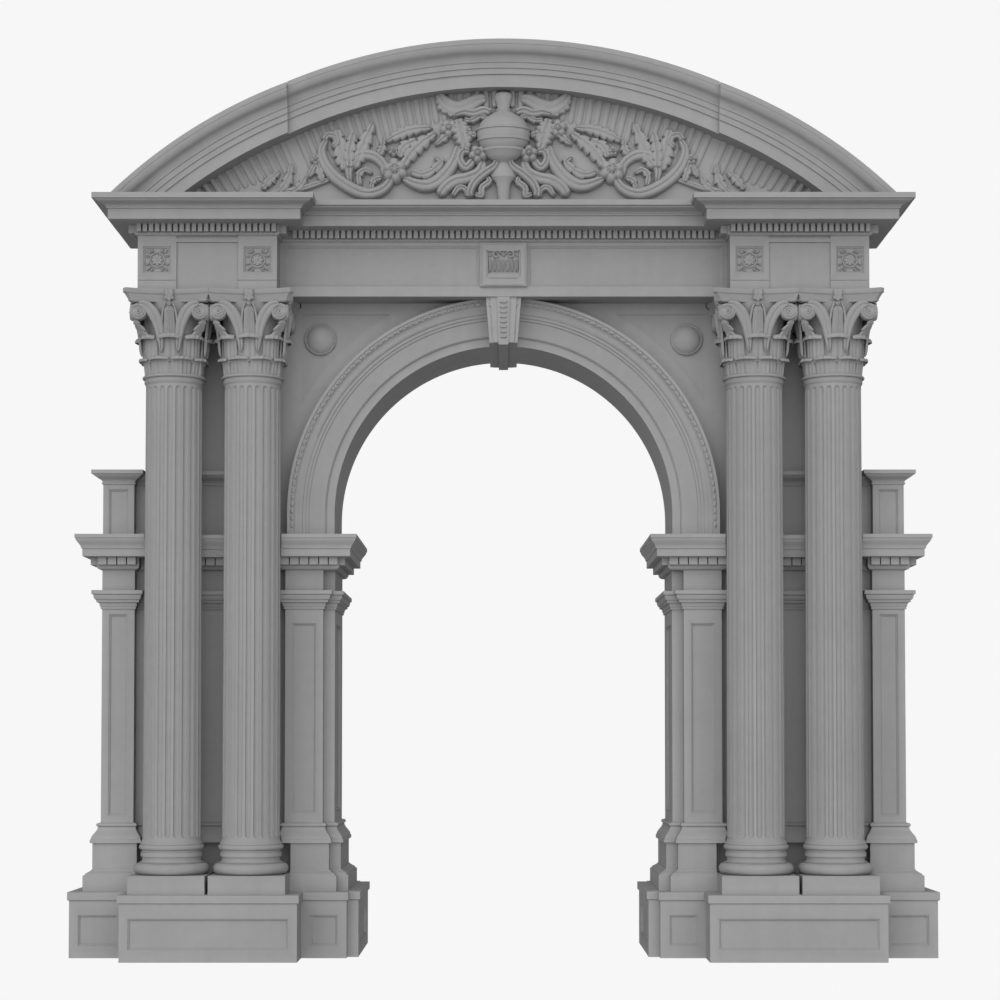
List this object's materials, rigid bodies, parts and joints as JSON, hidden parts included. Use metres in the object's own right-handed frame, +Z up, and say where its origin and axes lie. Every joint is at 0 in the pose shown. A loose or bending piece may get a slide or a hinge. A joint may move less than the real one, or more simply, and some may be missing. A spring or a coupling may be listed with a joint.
{
  "type": "arched stone gateway with paired columns and a segmental pediment",
  "caption": "Free-standing arched gateway: fluted Corinthian columns in pairs on pedestals, moulded arch, broken-forward entablature and curved pediment with carved foliage.",
  "frame": {"origin": "on the ground, in the middle of the gateway's box", "axes": "+Z up, -Y towards the front with the columns, +X to the right as seen from the front"},
  "size_m": [7.436, 2.12, 7.8558],
  "materials": {
    "stone": "matte",
    "carved_stone": "matte"
  },
  "bodies": {
    "root": {"architrave": "stone", "central_frieze": "stone", "dentil_course": "stone", "frieze_plaque": "carved_stone", "keystone": "carved_stone", "left_archivolt": "stone", "left_attic_block": "stone", "left_column_frieze": "stone", "left_impost_cornice": "stone", "left_inner_column_base": "stone", "left_inner_column_capital": "carved_stone", "left_inner_column_shaft": "stone", "left_outer_column_base": "stone", "left_outer_column_capital": "carved_stone", "left_outer_column_shaft": "stone", "left_pedestal": "stone", "left_pedestal_cap": "stone", "left_pier_base": "stone", "left_pier_capital": "stone", "left_pier_shaft": "stone", "left_raking_flank": "stone", "left_scrollwork": "carved_stone", "left_spandrel_bosses": "carved_stone", "left_spandrel_wall": "stone", "main_cornice": "stone", "raking_crown": "stone", "right_archivolt": "stone", "right_attic_block": "stone", "right_column_frieze": "stone", "right_impost_cornice": "stone", "right_inner_column_base": "stone", "right_inner_column_capital": "carved_stone", "right_inner_column_shaft": "stone", "right_outer_column_base": "stone", "right_outer_column_capital": "carved_stone", "right_outer_column_shaft": "stone", "right_pedestal": "stone", "right_pedestal_cap": "stone", "right_pier_base": "stone", "right_pier_capital": "stone", "right_pier_shaft": "stone", "right_raking_flank": "stone", "right_scrollwork": "carved_stone", "right_spandrel_bosses": "carved_stone", "right_spandrel_wall": "stone", "tympanum": "stone", "urn": "carved_stone"}
  },
  "joints": []
}
